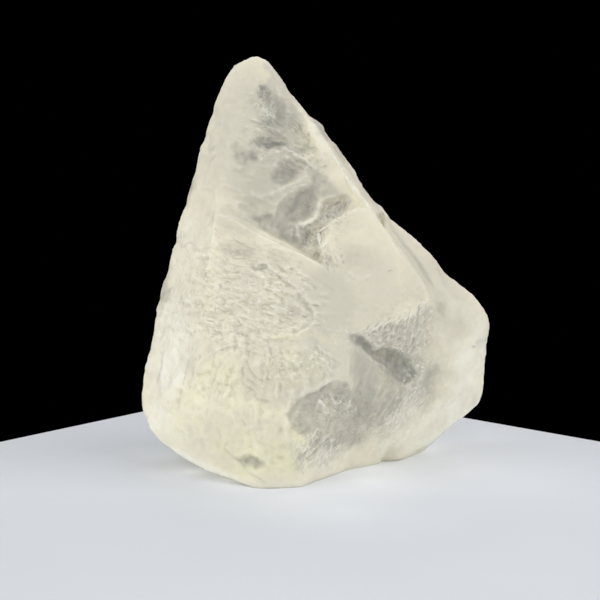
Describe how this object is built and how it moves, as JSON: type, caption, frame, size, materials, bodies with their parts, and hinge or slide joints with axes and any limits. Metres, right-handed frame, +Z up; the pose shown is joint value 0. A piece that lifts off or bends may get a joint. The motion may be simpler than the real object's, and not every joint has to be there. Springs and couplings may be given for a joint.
{
  "type": "calcite crystal point",
  "caption": "Tapering, milky crystal of calcite with stepped cleavage faces, broken off flat below so that it stands on its own.",
  "frame": {"origin": "under the middle of the crystal's box, on the surface that its broken base stands on", "axes": "+Z up towards the tip, +X towards the wide right shoulder as the picture shows it, -Y towards the viewer"},
  "size_m": [0.043, 0.0276, 0.05],
  "materials": {
    "calcite": "milky, see-through in places, satin"
  },
  "bodies": {
    "root": {"calcite_crystal": "calcite"}
  },
  "joints": []
}
